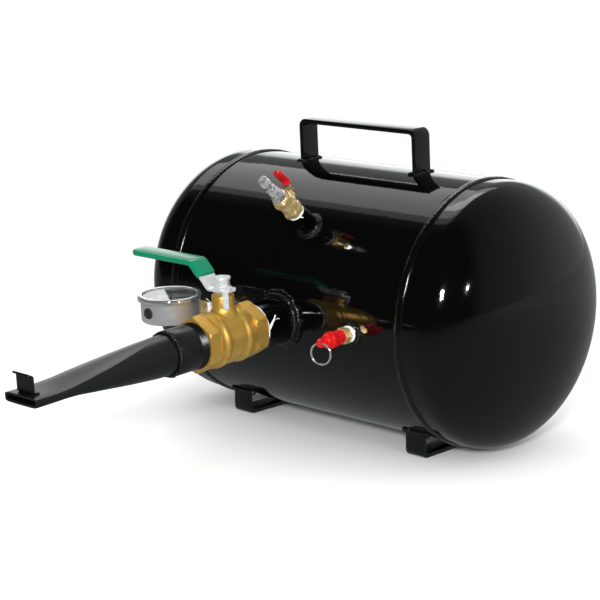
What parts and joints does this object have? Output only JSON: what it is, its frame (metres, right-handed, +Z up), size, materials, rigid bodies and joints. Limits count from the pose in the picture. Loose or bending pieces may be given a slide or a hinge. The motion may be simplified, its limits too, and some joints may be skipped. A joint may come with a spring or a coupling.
{
  "type": "air receiver tank",
  "caption": "Portable cylindrical air receiver on strap feet with carry handle, lever ball valve, flattened blast nozzle, pressure gauge, charging valve and pull-ring relief valve.",
  "frame": {"origin": "floor level under the centre of the overall box", "axes": "+X along the tank, to the right seen from the nozzle; -Y out along the nozzle; +Z up"},
  "size_m": [0.5138, 0.6392, 0.3419],
  "materials": {
    "enamel_black": "gloss",
    "satin_black": "satin",
    "zinc": "satin",
    "ptfe": "matte",
    "brass": "as cast, grainy",
    "brass_bar": "machined",
    "chrome": "polished",
    "vinyl_green": "semi gloss",
    "vinyl_red": "semi gloss",
    "anodised_red": "semi gloss",
    "spring_steel": "satin",
    "stainless": "brushed",
    "clear_lens": "polished",
    "dial_face": "matte",
    "needle_black": "matte",
    "rubber_black": "matte"
  },
  "bodies": {
    "vessel": {"tank_shell": "enamel_black", "head_left": "enamel_black", "head_right": "enamel_black", "seam_weld_left": "enamel_black", "seam_weld_right": "enamel_black", "handle": "enamel_black", "handle_welds": "enamel_black", "foot_left": "enamel_black", "foot_right": "enamel_black", "foot_welds": "enamel_black", "outlet_nipple": "enamel_black", "port_welds": "enamel_black", "inlet_bung": "enamel_black", "safety_bung": "enamel_black", "gauge_bung": "enamel_black", "drain_bung": "enamel_black", "drain_plug": "zinc", "tape_outlet": "ptfe", "tape_inlet": "ptfe", "tape_safety": "ptfe", "tape_gauge": "ptfe", "valve_tail": "brass", "valve_body": "brass", "valve_seats": "ptfe", "stem_packing": "ptfe", "gland_nut": "brass_bar", "nozzle_collar": "satin_black", "nozzle_tube": "satin_black", "nozzle_weld": "satin_black", "hook_bracket": "satin_black", "inlet_valve_body": "brass", "inlet_valve_cap": "brass", "inlet_seats": "ptfe", "inlet_gland": "brass_bar", "air_plug": "chrome", "safety_body": "brass", "safety_bonnet": "anodised_red", "safety_spring": "spring_steel", "gauge_case": "stainless", "gauge_bezel": "stainless", "gauge_window": "clear_lens", "gauge_dial": "dial_face", "gauge_movement": "brass_bar", "bourdon_tube": "brass_bar", "gauge_stem": "brass", "gauge_plug": "rubber_black"},
    "main_lever": {"valve_ball": "chrome", "valve_stem": "brass_bar", "valve_lever": "zinc", "lever_grip": "vinyl_green", "lever_nut": "zinc"},
    "inlet_handle": {"inlet_ball": "chrome", "inlet_stem": "brass_bar", "inlet_lever": "vinyl_red", "inlet_lever_nut": "zinc"},
    "needle": {"gauge_needle": "needle_black"},
    "relief_plunger": {"safety_poppet": "brass_bar", "safety_cap": "anodised_red"},
    "ring": {"pull_ring": "chrome"}
  },
  "joints": [
    {"name": "main_lever_turn", "type": "hinge", "parent": "vessel", "child": "main_lever", "pos_m": [0.0008, -0.05402, 0.18902], "axis": [0, -0.0483, 0.9988], "range_deg": [0, 90]},
    {"name": "inlet_lever_turn", "type": "hinge", "parent": "vessel", "child": "inlet_handle", "pos_m": [0.0163, 0.02896, 0.26894], "axis": [-0.342, 0.5926, 0.7292], "range_deg": [0, 90]},
    {"name": "needle_sweep", "type": "hinge", "parent": "vessel", "child": "needle", "pos_m": [-0.0935, -0.04223, 0.16256], "axis": [0, -0.0483, 0.9988], "range_deg": [-270, 0]},
    {"name": "relief_pull", "type": "slide", "parent": "vessel", "child": "relief_plunger", "axis": [0, -0.9988, -0.0483], "range_m": [0, 0.003], "stiffness_N_per_m": 3000, "springref_m": -0.008, "deforming": ["safety_spring"]},
    {"name": "ring_swing", "type": "hinge", "parent": "relief_plunger", "child": "ring", "pos_m": [0.1025, -0.0147, 0.14187], "axis": [1, 0, 0], "range_deg": [-100, 20]}
  ]
}
